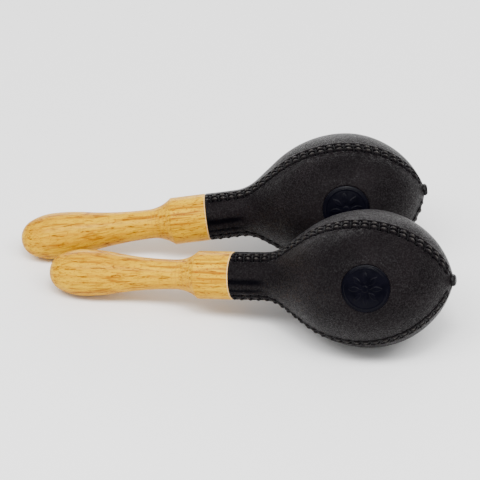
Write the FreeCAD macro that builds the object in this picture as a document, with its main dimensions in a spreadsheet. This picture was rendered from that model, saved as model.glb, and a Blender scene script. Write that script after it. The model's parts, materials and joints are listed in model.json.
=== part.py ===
"""Two stitched-leather maracas lying side by side on a table, one behind the other.

Each maraca is a turned wooden handle whose tenon is glued into the neck of a hollow leather head.
The head is three equal panels that meet at three whip-stitched seams.  One panel carries a round
badge in a recess.  A rubber plug closes the filling hole at the tip, and loose steel shot lies
inside.

Lengths are in millimetres and angles in degrees.  A maraca is drawn in a frame of its own: +X runs
along its axis from the butt of the handle to the tip of the head, and +Z goes out through the
middle of the badge.  A station is a distance along that axis, and a radius is a distance from it.
The row frame has +Z up and the table at zero.
"""

import FreeCAD
import Part
import Sketcher

import math
import os

from FreeCAD import Placement, Rotation, Vector

# name, value, meaning
SIZES = [
    ("nose_arc", 13.3, "radius of the handle's rounded end"),
    ("nose_sweep", 64.0, "angle of the rounded end, from the axis"),
    ("butt_arc", 37.0, "radius of the outline from the rounded end to the fullest grip"),
    ("crown_arc", 130.0, "radius of the outline just past the fullest grip"),
    ("waist_station", 89.6, "where the handle is thinnest"),
    ("waist_radius", 10.0, "radius of the handle there"),
    ("shoulder_arc", 24.2, "radius of the hollow that rises to the collar"),
    ("shoulder_slope", 40.0, "slope of that hollow where it meets the collar's edge"),
    ("collar_radius", 16.0, "radius of the plain cylinder next to the leather"),
    ("collar_end", 129.8, "where the collar ends and the leather begins"),
    ("collar_bevel", 0.5, "bevel of the collar's edge at the leather"),
    ("tenon_radius", 13.7, "radius of the tenon inside the neck"),
    ("tenon_length", 22.0, "length of the tenon"),
    ("tenon_bevel", 1.0, "bevel of the tenon's end"),
    ("tenon_flat", 11.6, "distance from the axis to the flats that clear the stitches"),
    ("neck_radius", 16.0, "outer radius of the leather neck"),
    ("flare_arc", 26.0, "radius of the hollow between neck and head"),
    ("flare_slope", 36.0, "slope of the straight stretch of the flare"),
    ("back_arc", 70.0, "radius of the head's outline on the handle side"),
    ("front_arc", 58.3, "radius of the head's outline on the tip side"),
    ("head_radius", 45.5, "largest radius of the head"),
    ("head_station", 222.5, "where the head is widest"),
    ("leather_thick", 2.2, "thickness of the leather"),
    ("panel_sweep", 119.6, "angle that one panel covers, which leaves a hairline at each seam"),
    ("hole_radius", 2.6, "radius of the filling hole at the tip"),
    ("thread_radius", 0.8, "radius of the stitching thread"),
    ("stitch_reach", 3.2, "distance from a seam to its stitch holes"),
    ("stitch_rise", 0.85, "height of the thread's middle over the leather"),
    ("stitch_sink", 1.1, "depth of the thread's middle behind the leather"),
    ("stitch_hole", 0.95, "radius of a stitch hole"),
    ("stitch_bend", 1.2, "radius of the thread's bend into a hole"),
    ("stitch_slant", 8.0, "slant of each stitch across its seam"),
    ("stitch_start", 4.0, "distance from the leather's edge to the first stitch"),
    ("stitch_pitch", 5.7, "spacing of the stitches at the neck"),
    ("stitch_growth", 0.045, "growth of the spacing from one stitch to the next"),
    ("tip_clearance", 8.0, "radius inside which no stitch is set at the tip"),
    ("front_badge_station", 231.0, "where the middle of the front maraca's badge is"),
    ("rear_badge_station", 226.5, "where the middle of the rear maraca's badge is"),
    ("badge_radius", 15.8, "radius of the badge"),
    ("badge_gap", 0.1, "gap round the badge in its recess"),
    ("recess_depth", 0.9, "depth of the recess in the leather"),
    ("badge_sink", 0.35, "depth of the badge's face below the leather"),
    ("motif_height", 0.3, "height of the raised ring and rosette"),
    ("ring_outer", 14.0, "outer radius of the raised ring"),
    ("ring_inner", 13.0, "inner radius of the raised ring"),
    ("petal_start", 3.4, "where a petal of the rosette begins"),
    ("petal_end", 11.0, "where a petal ends"),
    ("petal_width", 3.2, "width of a petal"),
    ("boss_radius", 2.0, "radius of the rosette's middle"),
    ("plug_radius", 4.0, "radius of the plug's head"),
    ("plug_end", 281.0, "station of the plug's outer face"),
    ("plug_round", 1.2, "radius of the edge of the plug's head"),
    ("plug_shank", 2.55, "radius of the plug's shank"),
    ("plug_barb", 3.2, "radius of the barb behind the leather"),
    ("plug_tail", 1.75, "radius of the barb's flat end"),
    ("plug_lead", 2.0, "length of the taper from that end to the barb"),
    ("plug_length", 10.0, "length of the plug behind its head"),
    ("shot_radius", 2.5, "radius of one pellet"),
    ("shot_gap", 0.06, "least gap between pellets, and between a pellet and the leather"),
    ("shot_layers", 2, "layers of pellets in the heap"),
    ("badge_roll", 64.3, "angle from straight up to the badge, round the axis, towards the front"),
    ("front_yaw", -14.3, "turn of the front maraca about the vertical, head to the front"),
    ("rear_yaw", 0.0, "turn of the rear maraca about the vertical"),
    ("head_spacing", 92.9, "distance between the middles of the two heads, on the table"),
    ("head_bearing", 99.3, "direction of the rear head from the front head, from +X"),
]

SEAMS = 3
SEAM_ANGLE = 360.0 / SEAMS
PETALS = 8
BADGE_COVER = 30.0  # half the angle of the bands that the badge and its recess are cut from
BAND_REACH = 26.0  # how far those bands run along the axis, each way from the widest station
CUTTER_LENGTH = 60.0
RECESS_TOP = -1.0  # the cut for the recess starts this far above the leather
PLUG_LIFT = 0.02  # clearance under the plug's head
BARB_GAP = 0.1  # clearance of the barb behind the leather
BARB_EASE = 1.0  # length of the slope from the shank out to the barb
X_AXIS = Vector(1, 0, 0)
Y_AXIS = Vector(0, 1, 0)
Z_AXIS = Vector(0, 0, 1)

doc = FreeCAD.newDocument("maracas")
sheet = doc.addObject("Spreadsheet::Sheet", "sizes")
for number, (alias, value, meaning) in enumerate(SIZES, start=1):
    sheet.set("A%d" % number, alias)
    sheet.set("B%d" % number, str(value))
    sheet.set("C%d" % number, meaning)
    sheet.setAlias("B%d" % number, alias)
doc.recompute()


def size(alias):
    """The value of one cell of the sheet."""
    return float(sheet.get(alias))


def polar(centre, radius, angle):
    """The point of a circle in the outline plane at an angle in degrees."""
    turned = math.radians(angle)
    return Vector(centre.x + radius * math.cos(turned), centre.y + radius * math.sin(turned), 0)


def about_axis(angle):
    """A turn about the maraca's own axis."""
    return Placement(Vector(), Rotation(X_AXIS, angle))


# --------------------------------------------------------------------------------------------------
# Sketches


class Outline:
    """A closed outline in a sketch, drawn piece by piece and held by constraints bound to the sheet."""

    def __init__(self, sketch, start):
        self.sketch = sketch
        self.here = start
        self.joints = []

    def _join(self, index, first, last, end, smooth):
        if self.joints:
            before, _, vertex = self.joints[-1]
            kind = "Tangent" if smooth else "Coincident"
            self.sketch.addConstraint(Sketcher.Constraint(kind, before, vertex, index, first))
        self.joints.append((index, first, last))
        self.here = end
        return index

    def line(self, end, smooth=False):
        index = self.sketch.addGeometry(Part.LineSegment(self.here, end))
        return self._join(index, 1, 2, end, smooth)

    def arc(self, centre, end, alias=None, clockwise=True, smooth=True, expression=None):
        """An arc about centre.  Its radius is held by a cell of the sheet, or by an expression of cells."""
        first, last = (end, self.here) if clockwise else (self.here, end)
        start_angle, end_angle = (math.atan2(p.y - centre.y, p.x - centre.x) for p in (first, last))
        if end_angle < start_angle:
            end_angle += 2 * math.pi
        radius = (first - centre).Length
        circle = Part.Circle(centre, Z_AXIS, radius)
        index = self.sketch.addGeometry(Part.ArcOfCircle(circle, start_angle, end_angle))
        vertices = (2, 1) if clockwise else (1, 2)
        self._join(index, vertices[0], vertices[1], end, smooth)
        if alias or expression:
            self.hold(Sketcher.Constraint("Radius", index, radius), expression or "sizes." + alias)
        return index

    def hold(self, constraint, expression):
        """Adds a dimension and binds it to the sheet."""
        number = self.sketch.addConstraint(constraint)
        self.sketch.setExpression("Constraints[%d]" % number, expression)

    def hold_height(self, index, vertex, alias):
        """Holds a vertex's distance from the axis."""
        height = self.sketch.getPoint(index, vertex).y
        self.hold(Sketcher.Constraint("DistanceY", -1, 1, index, vertex, height), "sizes." + alias)

    def hold_station(self, index, vertex, alias):
        """Holds a vertex's station along the axis."""
        station = self.sketch.getPoint(index, vertex).x
        self.hold(Sketcher.Constraint("DistanceX", -1, 1, index, vertex, station), "sizes." + alias)

    def close(self):
        """Joins the last piece to the first."""
        (first, start, _), (last, _, end) = self.joints[0], self.joints[-1]
        self.sketch.addConstraint(Sketcher.Constraint("Coincident", last, end, first, start))


def new_sketch(body, name, role, offset=0.0):
    """A sketch on one of a body's own origin planes, moved along that plane's normal."""
    sketch = body.newObject("Sketcher::SketchObject", name)
    plane = next(o for o in body.Origin.OriginFeatures if o.Role == role)
    sketch.AttachmentSupport = [(plane, "")]
    sketch.MapMode = "FlatFace"
    sketch.AttachmentOffset = Placement(Vector(0, 0, offset), Rotation())
    return sketch


def revolve(body, sketch, angle_expression=None):
    """Turns a sketch about the maraca's axis, full circle or through an angle centred on it."""
    turned = body.newObject("PartDesign::Revolution", body.Name + "_turned")
    turned.Profile = sketch
    turned.ReferenceAxis = (sketch, ["H_Axis"])
    turned.Angle = 360
    if angle_expression:
        turned.Midplane = True
        turned.setExpression("Angle", angle_expression)
    sketch.Visibility = False
    return turned


# --------------------------------------------------------------------------------------------------
# Handle


def handle_points():
    """Joints and centres of the handle's outline, from its nose to the edge of the collar."""
    points = {}
    nose = size("nose_arc")
    sweep = size("nose_sweep")
    points["nose_centre"] = Vector(nose, 0, 0)
    points["nose_end"] = polar(points["nose_centre"], nose, 180 - sweep)
    points["butt_centre"] = polar(points["nose_centre"], nose - size("butt_arc"), 180 - sweep)
    crest = points["butt_centre"] + Vector(0, size("butt_arc"), 0)
    points["crest"] = crest

    # The crown and the waist are two arcs that share one slope where they meet.
    waist = Vector(size("waist_station"), size("waist_radius"), 0)
    run = waist.x - crest.x
    fall = 2 * math.degrees(math.atan2(crest.y - waist.y, run))
    points["waist_arc"] = run / math.sin(math.radians(fall)) - size("crown_arc")
    points["crown_centre"] = crest - Vector(0, size("crown_arc"), 0)
    points["crown_end"] = polar(points["crown_centre"], size("crown_arc"), 90 - fall)
    points["waist"] = waist
    points["waist_centre"] = waist + Vector(0, points["waist_arc"], 0)

    slope = size("shoulder_slope")
    points["shoulder_centre"] = waist + Vector(0, size("shoulder_arc"), 0)
    points["shoulder_end"] = polar(points["shoulder_centre"], size("shoulder_arc"), 270 + slope)
    rest = size("collar_radius") - points["shoulder_end"].y
    corner = rest / (1 - math.cos(math.radians(slope)))
    points["corner_centre"] = polar(points["shoulder_end"], corner, 270 + slope)
    points["collar_start"] = points["corner_centre"] + Vector(0, corner, 0)
    return points


def build_handle(prefix):
    """The turned handle: grip, waist, shoulder, collar, and a tenon with three flats over the seams."""
    body = doc.addObject("PartDesign::Body", prefix + "_handle")
    sketch = new_sketch(body, prefix + "_handle_outline", "XZ_Plane")
    at = handle_points()
    collar_end, collar, bevel = size("collar_end"), size("collar_radius"), size("collar_bevel")
    tenon, tenon_bevel = size("tenon_radius"), size("tenon_bevel")
    tenon_end = collar_end + size("tenon_length")

    outline = Outline(sketch, Vector(0, 0, 0))
    outline.arc(at["nose_centre"], at["nose_end"], "nose_arc")
    outline.arc(at["butt_centre"], at["crest"], "butt_arc")
    outline.arc(at["crown_centre"], at["crown_end"], "crown_arc")
    waist = outline.arc(at["waist_centre"], at["waist"], clockwise=False)
    outline.arc(at["shoulder_centre"], at["shoulder_end"], "shoulder_arc", clockwise=False)
    outline.arc(at["corner_centre"], at["collar_start"])
    cylinder = outline.line(Vector(collar_end - bevel, collar, 0), smooth=True)
    outline.line(Vector(collar_end, collar - bevel, 0))
    outline.line(Vector(collar_end, tenon, 0))
    side = outline.line(Vector(tenon_end - tenon_bevel, tenon, 0))
    outline.line(Vector(tenon_end, tenon - tenon_bevel, 0))
    outline.line(Vector(tenon_end, 0, 0))
    outline.line(Vector(0, 0, 0))
    outline.close()
    outline.hold_station(waist, 2, "waist_station")
    outline.hold_height(waist, 2, "waist_radius")
    outline.hold_height(cylinder, 2, "collar_radius")
    outline.hold_height(side, 1, "tenon_radius")
    outline.hold_station(side, 1, "collar_end")
    revolve(body, sketch)
    doc.recompute()

    flat = new_sketch(body, prefix + "_tenon_flat", "YZ_Plane", collar_end)
    reach = size("collar_radius")
    low = -size("tenon_flat")
    chord = Outline(flat, Vector(-reach, low, 0))
    top = chord.line(Vector(reach, low, 0))
    chord.line(Vector(reach, -reach, 0))
    chord.line(Vector(-reach, -reach, 0))
    chord.line(Vector(-reach, low, 0))
    chord.close()
    chord.hold(Sketcher.Constraint("DistanceY", top, 1, -1, 1, -low), "sizes.tenon_flat")
    pocket = body.newObject("PartDesign::Pocket", prefix + "_tenon_pocket")
    pocket.Profile = flat
    pocket.Reversed = True
    pocket.setExpression("Length", "sizes.tenon_length")
    pattern = body.newObject("PartDesign::PolarPattern", prefix + "_tenon_flats")
    pattern.Originals = [pocket]
    pattern.Axis = (flat, ["N_Axis"])
    pattern.Angle = 360
    pattern.Occurrences = SEAMS
    body.Tip = pattern
    return body


# --------------------------------------------------------------------------------------------------
# Leather head


def head_points():
    """Joints and centres of the head's outer outline, from the leather's edge to the filling hole."""
    points = {"edge": Vector(size("collar_end"), size("neck_radius"), 0)}
    slope = size("flare_slope")
    points["crest"] = Vector(size("head_station"), size("head_radius"), 0)
    points["back_centre"] = points["crest"] - Vector(0, size("back_arc"), 0)
    points["front_centre"] = points["crest"] - Vector(0, size("front_arc"), 0)
    points["back_start"] = polar(points["back_centre"], size("back_arc"), 90 + slope)

    hollow = size("flare_arc")
    flare_end_height = size("neck_radius") + hollow * (1 - math.cos(math.radians(slope)))
    rise = points["back_start"].y - flare_end_height
    flare_end_station = points["back_start"].x - rise / math.tan(math.radians(slope))
    points["flare_end"] = Vector(flare_end_station, flare_end_height, 0)
    points["neck_end"] = Vector(
        flare_end_station - hollow * math.sin(math.radians(slope)), size("neck_radius"), 0
    )
    points["flare_centre"] = points["neck_end"] + Vector(0, hollow, 0)
    points["slope"] = slope
    return points


def front_point(depth, radius):
    """The point of the front arc, at a depth below the leather's surface, that is a radius from the axis."""
    at = head_points()
    arc = size("front_arc") - depth
    height = radius - at["front_centre"].y
    return Vector(at["front_centre"].x + math.sqrt(arc**2 - height**2), radius, 0)


def build_panel(name):
    """One third of the leather head: its outline with a constant thickness, turned about the axis."""
    body = doc.addObject("PartDesign::Body", name)
    sketch = new_sketch(body, name + "_outline", "XZ_Plane")
    at = head_points()
    thick, slope = size("leather_thick"), at["slope"]
    inner_edge = at["edge"] - Vector(0, thick, 0)
    inward = Vector(math.sin(math.radians(slope)), -math.cos(math.radians(slope)), 0) * thick

    outline = Outline(sketch, inner_edge)
    edge = outline.line(at["edge"])
    outline.line(at["neck_end"])
    outline.arc(at["flare_centre"], at["flare_end"], "flare_arc", clockwise=False)
    outline.line(at["back_start"], smooth=True)
    back = outline.arc(at["back_centre"], at["crest"], "back_arc")
    outline.arc(at["front_centre"], front_point(0, size("hole_radius")), "front_arc")
    outline.line(front_point(thick, size("hole_radius")))
    outline.arc(
        at["front_centre"],
        at["crest"] - Vector(0, thick, 0),
        clockwise=False,
        smooth=False,
        expression="sizes.front_arc - sizes.leather_thick",
    )
    outline.arc(
        at["back_centre"],
        at["back_start"] + inward,
        clockwise=False,
        expression="sizes.back_arc - sizes.leather_thick",
    )
    outline.line(at["flare_end"] + inward, smooth=True)
    outline.arc(
        at["flare_centre"],
        at["neck_end"] - Vector(0, thick, 0),
        expression="sizes.flare_arc + sizes.leather_thick",
    )
    outline.line(inner_edge, smooth=True)
    outline.close()
    outline.hold_station(edge, 2, "collar_end")
    outline.hold_height(edge, 2, "neck_radius")
    outline.hold_station(back, 3, "head_station")
    revolve(body, sketch, "sizes.panel_sweep")
    return body


def build_band(name, high, low):
    """A layer of the head round its widest part, between two depths below the leather's surface."""
    body = doc.addObject("PartDesign::Body", name)
    sketch = new_sketch(body, name + "_outline", "XZ_Plane")
    at = head_points()
    ends = {}
    for depth in (high, low):
        for key, arc, side in (("back", size("back_arc"), -1), ("front", size("front_arc"), 1)):
            lean = math.degrees(math.asin(BAND_REACH / (arc - depth)))
            ends[key, depth] = polar(at[key + "_centre"], arc - depth, 90 - side * lean)

    outline = Outline(sketch, ends["back", low])
    outline.line(ends["back", high])
    back = outline.arc(at["back_centre"], at["crest"] - Vector(0, high, 0), smooth=False)
    outline.arc(at["front_centre"], ends["front", high])
    outline.line(ends["front", low])
    outline.arc(
        at["front_centre"], at["crest"] - Vector(0, low, 0), clockwise=False, smooth=False
    )
    outline.arc(at["back_centre"], ends["back", low], clockwise=False)
    outline.close()
    outline.hold_station(back, 3, "head_station")
    turned = revolve(body, sketch)
    turned.Midplane = True
    turned.Angle = 2 * BADGE_COVER
    return body


def badge_cylinder(prefix, name, radius_expression):
    """A cylinder through the middle of the badge, square to the axis."""
    cylinder = doc.addObject("Part::Cylinder", prefix + "_" + name)
    cylinder.setExpression("Radius", radius_expression)
    cylinder.Height = CUTTER_LENGTH
    cylinder.Placement = Placement(Vector(size(prefix + "_badge_station"), 0, 0), Rotation())
    return cylinder


def boolean(kind, name, base, tool):
    """A Part boolean of two objects."""
    result = doc.addObject("Part::" + kind, name)
    result.Base = base
    result.Tool = tool
    return result


def build_badge(prefix):
    """The badge: a disc bent to the head, with a raised ring and a rosette of petals."""
    sink, height = size("badge_sink"), size("motif_height")
    layer = build_band(prefix + "_badge_layer", sink, size("recess_depth"))
    rim = badge_cylinder(prefix, "badge_rim", "sizes.badge_radius")
    disc = boolean("Common", prefix + "_badge_disc", layer, rim)

    motif = doc.addObject("PartDesign::Body", prefix + "_motif")
    centre = Vector(size(prefix + "_badge_station"), 0, 0)
    sketch = new_sketch(motif, prefix + "_motif_ring", "XY_Plane")
    for alias in ("ring_outer", "ring_inner", "boss_radius"):
        index = sketch.addGeometry(Part.Circle(centre, Z_AXIS, size(alias)))
        number = sketch.addConstraint(Sketcher.Constraint("Radius", index, size(alias)))
        sketch.setExpression("Constraints[%d]" % number, "sizes." + alias)
    ring = motif.newObject("PartDesign::Pad", prefix + "_ring_pad")
    ring.Profile = sketch
    ring.Length = CUTTER_LENGTH
    doc.recompute()

    start, end, half = size("petal_start"), size("petal_end"), size("petal_width") / 2
    petals = new_sketch(motif, prefix + "_motif_petals", "XY_Plane")
    for number in range(PETALS):
        turn = Rotation(Z_AXIS, number * 360.0 / PETALS)
        corners = [(start, 0), ((start + end) / 2, half), (end, 0), ((start + end) / 2, -half)]
        points = [centre + turn.multVec(Vector(x, y, 0)) for x, y in corners]
        petal = Outline(petals, points[-1])
        for point in points:
            petal.line(point)
        petal.close()
    pad = motif.newObject("PartDesign::Pad", prefix + "_petal_pad")
    pad.Profile = petals
    pad.Length = CUTTER_LENGTH
    motif.Tip = pad

    raised = build_band(prefix + "_motif_layer", sink - height, sink + height)
    relief = boolean("Common", prefix + "_relief", raised, motif)
    return boolean("Fuse", prefix + "_badge", disc, relief)


# --------------------------------------------------------------------------------------------------
# Stitching


def seam_edges():
    """The outer outline of the head as edges in the plane of a seam, from the leather's edge to the tip."""
    at = head_points()

    def lifted(point):
        return Vector(point.x, 0, point.y)

    def arc(centre, start, end):
        middle = (start - centre) + (end - centre)
        middle = centre + middle.normalize() * (start - centre).Length
        return Part.Arc(lifted(start), lifted(middle), lifted(end)).toShape()

    tip = front_point(0, size("tip_clearance"))
    return [
        Part.LineSegment(lifted(at["edge"]), lifted(at["neck_end"])).toShape(),
        arc(at["flare_centre"], at["neck_end"], at["flare_end"]),
        Part.LineSegment(lifted(at["flare_end"]), lifted(at["back_start"])).toShape(),
        arc(at["back_centre"], at["back_start"], at["crest"]),
        arc(at["front_centre"], at["crest"], tip),
    ]


def stitch_places():
    """A placement for each stitch: its own X goes across the seam, Y along it and Z out of the leather."""
    edges = seam_edges()
    total = sum(edge.Length for edge in edges)
    slant = Rotation(Z_AXIS, size("stitch_slant"))
    places = []
    travelled = size("stitch_start")
    step = size("stitch_pitch")
    while travelled < total:
        left = travelled
        for edge in edges:
            if left <= edge.Length:
                break
            left -= edge.Length
        parameter = edge.getParameterByLength(left)
        along = edge.tangentAt(parameter)
        outward = along.cross(Y_AXIS)
        outward = outward if outward.z > 0 else -outward
        across = along.cross(outward)
        frame = Rotation(across, along, outward, "ZXY")
        places.append(Placement(edge.valueAt(parameter), frame * slant))
        travelled += step
        step += size("stitch_growth")
    return places


def stitch_loop():
    """One stitch: a loop of thread that goes over the seam, down both holes and back behind the leather."""
    reach, bend, radius = size("stitch_reach"), size("stitch_bend"), size("thread_radius")
    high = size("stitch_rise")
    low = -size("leather_thick") - size("stitch_sink")
    width = 2 * (reach - bend)
    height = high - low - 2 * bend
    corners = [(reach, high), (reach, low), (-reach, low), (-reach, high)]
    pieces = []
    for number, (x, z) in enumerate(corners):
        centre = Vector(x - math.copysign(bend, x), 0, high - bend if z == high else low + bend)
        corner = Part.makeTorus(bend, radius, Vector(), Z_AXIS, -180, 180, 90)
        turn = Rotation(Y_AXIS, 90.0 * number) * Rotation(X_AXIS, -90) * Rotation(Z_AXIS, -90)
        corner.Placement = Placement(centre, turn)
        pieces.append(corner)
    for z in (high, low):
        pieces.append(Part.makeCylinder(radius, width, Vector(bend - reach, 0, z), X_AXIS))
    for x in (-reach, reach):
        pieces.append(Part.makeCylinder(radius, height, Vector(x, 0, low + bend), Z_AXIS))
    loop = pieces[0].fuse(pieces[1:]).Solids[0]
    if not loop.isValid() or abs(loop.Volume - stitch_volume(width, height)) > 0.01:
        raise RuntimeError("the stitch is not one whole loop")
    return loop


def stitch_volume(width, height):
    """The volume of a loop with two straight runs of each length: its section times its length."""
    length = 2 * width + 2 * height + 2 * math.pi * size("stitch_bend")
    return math.pi * size("thread_radius") ** 2 * length


def stitch_row():
    """All the stitches of one seam, as separate solids, with the seam in the XZ plane."""
    loop = stitch_loop()
    loops = []
    for place in stitch_places():
        one = loop.copy()
        one.Placement = place
        loops.append(one)
    return Part.makeCompound(loops)


def stitch_drills(edge):
    """What makes the stitch holes along one edge of a panel: edge is -1 or 1, the side of its seam."""
    length = 3 * size("leather_thick")
    start = Vector(-edge * size("stitch_reach"), 0, -2 * size("leather_thick"))
    drill = Part.makeCylinder(size("stitch_hole"), length, start, Z_AXIS)
    drills = []
    for place in stitch_places():
        one = drill.copy()
        one.Placement = about_axis(edge * SEAM_ANGLE / 2) * place
        drills.append(one)
    return drills


def build_thread(prefix, name, row):
    """The thread of one seam."""
    thread = doc.addObject("Part::Feature", prefix + "_" + name)
    thread.Shape = row
    return thread


def build_punched_panel(prefix, name, recess=None):
    """A leather panel with the stitch holes along both its edges, and the badge's recess if it has one."""
    base = build_panel(prefix + "_" + name + "_blank")
    if recess:
        base = boolean("Cut", prefix + "_" + name + "_recessed", base, recess)
    punch = doc.addObject("Part::Feature", prefix + "_" + name + "_punch")
    punch.Shape = Part.makeCompound(stitch_drills(-1) + stitch_drills(1))
    return boolean("Cut", prefix + "_" + name, base, punch)


def build_recess(prefix):
    """The space that the badge is set in."""
    layer = build_band(prefix + "_recess_layer", RECESS_TOP, size("recess_depth"))
    rim = badge_cylinder(prefix, "recess_rim", "sizes.badge_radius + sizes.badge_gap")
    return boolean("Common", prefix + "_recess", layer, rim)


# --------------------------------------------------------------------------------------------------
# Plug and shot


def build_plug(prefix):
    """The rubber plug in the filling hole: a round head, a shank and a barb behind the leather."""
    body = doc.addObject("PartDesign::Body", prefix + "_end_plug")
    sketch = new_sketch(body, prefix + "_plug_outline", "XZ_Plane")
    lift = Vector(PLUG_LIFT, 0, 0)
    head, shank, barb = size("plug_radius"), size("plug_shank"), size("plug_barb")
    end, rounding = size("plug_end"), size("plug_round")
    seat = front_point(0, shank) + lift
    brim = front_point(0, head) + lift
    tail = seat.x - size("plug_length")
    behind = front_point(size("leather_thick"), shank) - Vector(BARB_GAP, 0, 0)

    outline = Outline(sketch, Vector(tail, 0, 0))
    outline.line(Vector(tail, size("plug_tail"), 0))
    outline.line(Vector(tail + size("plug_lead"), barb, 0))
    outline.line(Vector(behind.x - BARB_EASE, barb, 0))
    outline.line(behind)
    side = outline.line(seat)
    outline.line(brim)
    rim = outline.line(Vector(end - rounding, head, 0))
    outline.arc(
        Vector(end - rounding, head - rounding, 0), Vector(end, head - rounding, 0), "plug_round"
    )
    outline.line(Vector(end, 0, 0), smooth=True)
    outline.line(Vector(tail, 0, 0))
    outline.close()
    outline.hold_height(side, 2, "plug_shank")
    outline.hold_height(rim, 2, "plug_radius")
    revolve(body, sketch)
    return body


def fits_inside(station, radius, clear):
    """Whether a point is at least clear away from the inner face of the leather, inside the head."""
    at = head_points()
    key = "back" if station < at["crest"].x else "front"
    centre = at[key + "_centre"]
    room = size(key + "_arc") - size("leather_thick") - clear
    return math.hypot(station - centre.x, radius - centre.y) <= room


def heap(axis):
    """Centres of the pellets, from the middle of the head, as level close-packed layers."""
    pitch = 2 * size("shot_radius") + size("shot_gap")
    clear = size("shot_radius") + size("shot_gap")
    layer_rise = pitch * math.sqrt(2.0 / 3.0)
    row_rise = pitch * math.sqrt(3) / 2
    widest = int(size("head_radius") / pitch) + 1
    station = size("head_station")

    def inside(point):
        along = point.dot(axis)
        return fits_inside(station + along, (point - axis * along).Length, clear)

    level = -size("head_radius")
    while not inside(Vector(axis.x * level * axis.z, axis.y * level * axis.z, level)):
        level += size("shot_gap")
    centres = []
    for layer in range(int(size("shot_layers"))):
        shift = Vector(pitch / 2, row_rise / 3, 0) * (layer % 2)
        for row in range(-widest, widest + 1):
            for column in range(-widest, widest + 1):
                flat = Vector((column + (row % 2) / 2.0) * pitch, row * row_rise, 0)
                centre = flat + shift + Vector(axis.x * level * axis.z, axis.y * level * axis.z, 0)
                centre.z = level + layer * layer_rise
                if inside(centre):
                    centres.append(centre)
    return centres


def build_shot(prefix, axis):
    """The loose pellets, as separate solids in one heap, with level axes at the head's middle."""
    shot = doc.addObject("Part::Feature", prefix + "_shot")
    pellets = [Part.makeSphere(size("shot_radius"), centre) for centre in heap(axis)]
    shot.Shape = Part.makeCompound(pellets)
    return shot


# --------------------------------------------------------------------------------------------------
# Placing a maraca on the table


def lying():
    """The tilt of an axis whose butt and head both touch the table, and its height at station zero."""
    butt = handle_points()["butt_centre"]
    back = head_points()["back_centre"]
    butt_arc, back_arc = size("butt_arc"), size("back_arc")
    run, rise = back.x - butt.x, butt.y - back.y
    turned = math.asin((back_arc - butt_arc) / math.hypot(run, rise)) - math.atan2(rise, run)
    height = butt.y * math.cos(turned) - butt.x * math.sin(turned) + butt_arc
    return math.degrees(turned), height


def maraca_place(yaw, head_x, head_y):
    """The placement of a maraca whose head's middle is over a point of the table."""
    tilt, height = lying()
    turn = Rotation(Z_AXIS, yaw) * Rotation(Y_AXIS, -tilt)
    axis = turn.multVec(X_AXIS)
    station = size("head_station")
    origin = Vector(head_x - station * axis.x, head_y - station * axis.y, height)
    return Placement(origin, turn * Rotation(X_AXIS, size("badge_roll")))


def build_maraca(prefix, yaw):
    """All the pieces of one maraca as (node name, object, placement within the maraca)."""
    row = stitch_row()
    recess = build_recess(prefix)
    turned = {name: about_axis(SEAM_ANGLE * steps) for name, steps in (("back", -1), ("belly", 1))}
    half = SEAM_ANGLE / 2
    pieces = [
        ("handle", build_handle(prefix), Placement()),
        ("badge_panel", build_punched_panel(prefix, "badge_panel", recess), Placement()),
        ("back_panel", build_punched_panel(prefix, "back_panel"), turned["back"]),
        ("belly_panel", build_punched_panel(prefix, "belly_panel"), turned["belly"]),
        ("top_seam_thread", build_thread(prefix, "top_seam_thread", row), about_axis(-half)),
        ("lower_seam_thread", build_thread(prefix, "lower_seam_thread", row), about_axis(half)),
        ("far_seam_thread", build_thread(prefix, "far_seam_thread", row), about_axis(3 * half)),
        ("badge", build_badge(prefix), Placement()),
        ("end_plug", build_plug(prefix), Placement()),
    ]
    tilt, _ = lying()
    axis = (Rotation(Z_AXIS, yaw) * Rotation(Y_AXIS, -tilt)).multVec(X_AXIS)
    return pieces, build_shot(prefix, axis)


def placements(maracas, shift):
    """Each piece with its node name and its placement in the row, moved by shift."""
    for prefix, (pieces, shot, yaw, x, y) in maracas.items():
        place = maraca_place(yaw, x, y)
        place.Base = place.Base + shift
        for name, piece, within in pieces:
            yield prefix + "_" + name, piece, place * within
        middle = place.multVec(Vector(size("head_station"), 0, 0))
        yield prefix + "_shot", shot, Placement(middle, Rotation())


def row_shift(maracas):
    """The move that brings the middle of the pair's box over the origin, and its underside to zero."""
    box = FreeCAD.BoundBox()
    for _, piece, place in placements(maracas, Vector()):
        shape = piece.Shape.copy()
        shape.Placement = place
        box.add(shape.optimalBoundingBox(False, False))
    print("box %.2f x %.2f x %.2f" % (box.XLength, box.YLength, box.ZLength))
    return Vector(-box.Center.x, -box.Center.y, -box.ZMin)


def check_features():
    """Stops if any object of the document failed to recompute."""
    for piece in doc.Objects:
        if set(piece.State) & {"Invalid", "Error"}:
            raise RuntimeError("%s failed to recompute" % piece.Name)


def check_cut(prefix):
    """Stops if a feature that takes material away took none."""
    turned = doc.getObject(prefix + "_handle_turned").Shape.Volume
    flats = doc.getObject(prefix + "_handle").Shape.Volume
    blank = doc.getObject(prefix + "_badge_panel_blank").Shape.Volume
    recessed = doc.getObject(prefix + "_badge_panel_recessed").Shape.Volume
    if flats >= turned or recessed >= blank:
        raise RuntimeError("a cut of the %s maraca took nothing away" % prefix)


def export(name, piece):
    """Writes one sub-part's solids."""
    shape = piece.Shape
    if shape.isNull() or not shape.isValid() or not shape.Solids:
        raise RuntimeError("%s has no valid solid" % name)
    shape.exportStep(os.path.join("parts", name + ".step"))
    print("%-26s %4d solids %10.1f mm3" % (name, len(shape.Solids), shape.Volume))


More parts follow.
